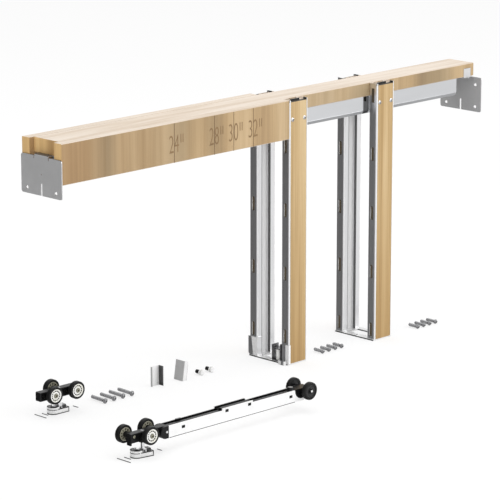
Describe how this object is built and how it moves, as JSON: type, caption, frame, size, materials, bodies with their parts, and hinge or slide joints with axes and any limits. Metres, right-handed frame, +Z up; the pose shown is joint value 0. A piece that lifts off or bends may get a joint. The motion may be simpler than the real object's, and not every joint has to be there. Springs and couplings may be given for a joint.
{
  "type": "pocket door frame",
  "caption": "Timber header with a hanging track, end brackets and steel-clad split studs on floor plates, with its hangers, soft-close arm, guides and screws laid out in front.",
  "frame": {"origin": "on the floor, centre of the screw holes of the plate under the first pair of studs, which is the mouth of the pocket", "axes": "+X along the wall from the doorway into the pocket, +Y across the wall, +Z up"},
  "size_m": [1.0156, 0.3086, 0.4435],
  "materials": {
    "header_timber": "planed softwood",
    "stud_timber": "planed softwood with upright grain",
    "track_aluminium": "bright extruded",
    "channel_steel": "bright zinc plated",
    "sheet_steel": "zinc plated sheet",
    "fastener_steel": "zinc plated",
    "black_plastic": "moulded",
    "black_tyre": "moulded",
    "cream_hub": "moulded",
    "white_nylon": "moulded",
    "white_housing": "white coated extrusion",
    "bumper_rubber": "moulded"
  },
  "bodies": {
    "frame": {"header_board": "header_timber", "header_track": "track_aluminium", "fascia_near": "header_timber", "fascia_far": "header_timber", "doorway_bracket": "sheet_steel", "pocket_bracket": "sheet_steel", "stud_channel_near_1": "channel_steel", "stud_strip_near_1": "stud_timber", "stud_channel_far_1": "channel_steel", "stud_strip_far_1": "stud_timber", "floor_plate_1": "sheet_steel", "stud_channel_near_2": "channel_steel", "stud_strip_near_2": "stud_timber", "stud_channel_far_2": "channel_steel", "stud_strip_far_2": "stud_timber", "floor_plate_2": "sheet_steel", "foot_clip_near": "sheet_steel", "foot_clip_far": "sheet_steel", "guide_frame": "sheet_steel", "guide_roller": "white_nylon", "hanger_body_a": "black_plastic", "hanger_bolt_a": "fastener_steel", "door_bracket_a": "fastener_steel", "hanger_body_b": "black_plastic", "hanger_bolt_b": "fastener_steel", "door_bracket_b": "fastener_steel", "arm_front": "black_plastic", "arm_housing": "white_housing", "arm_rail": "black_plastic", "arm_catch": "black_plastic", "arm_truck": "black_plastic", "loose_guides": "fastener_steel", "loose_bumpers": "bumper_rubber", "loose_screws_left": "fastener_steel", "loose_screws_middle": "fastener_steel", "loose_screws_right": "fastener_steel", "loose_nails": "fastener_steel"},
    "wheel_a1": {"tyre_a1": "black_tyre", "hub_a1": "cream_hub"},
    "wheel_a2": {"tyre_a2": "black_tyre", "hub_a2": "cream_hub"},
    "wheel_a3": {"tyre_a3": "black_tyre", "hub_a3": "cream_hub"},
    "wheel_b1": {"tyre_b1": "black_tyre", "hub_b1": "cream_hub"},
    "wheel_b2": {"tyre_b2": "black_tyre", "hub_b2": "cream_hub"},
    "wheel_b3": {"tyre_b3": "black_tyre", "hub_b3": "cream_hub"},
    "wheel_rear_1": {"rear_wheel_1": "black_tyre"},
    "wheel_rear_2": {"rear_wheel_2": "black_tyre"}
  },
  "joints": [
    {"name": "spin_a1", "type": "hinge", "parent": "frame", "child": "wheel_a1", "pos_m": [-0.4835, 0.01298, 0.035], "axis": [0.0349, 0.9994, 0], "continuous": true},
    {"name": "spin_a2", "type": "hinge", "parent": "frame", "child": "wheel_a2", "pos_m": [-0.43953, 0.01144, 0.035], "axis": [0.0349, 0.9994, 0], "continuous": true},
    {"name": "spin_a3", "type": "hinge", "parent": "frame", "child": "wheel_a3", "pos_m": [-0.46029, 0.04739, 0.035], "axis": [0.0349, 0.9994, 0], "continuous": true},
    {"name": "spin_b1", "type": "hinge", "parent": "frame", "child": "wheel_b1", "pos_m": [-0.54153, -0.20593, 0.035], "axis": [0.0262, 0.9997, 0], "continuous": true},
    {"name": "spin_b2", "type": "hinge", "parent": "frame", "child": "wheel_b2", "pos_m": [-0.49755, -0.20708, 0.035], "axis": [0.0262, 0.9997, 0], "continuous": true},
    {"name": "spin_b3", "type": "hinge", "parent": "frame", "child": "wheel_b3", "pos_m": [-0.52046, -0.24169, 0.035], "axis": [0.0262, 0.9997, 0], "continuous": true},
    {"name": "spin_rear_1", "type": "hinge", "parent": "frame", "child": "wheel_rear_1", "pos_m": [-0.18907, -0.25037, 0.035], "axis": [0.0262, 0.9997, 0], "continuous": true},
    {"name": "spin_rear_2", "type": "hinge", "parent": "frame", "child": "wheel_rear_2", "pos_m": [-0.18815, -0.21518, 0.035], "axis": [0.0262, 0.9997, 0], "continuous": true}
  ]
}
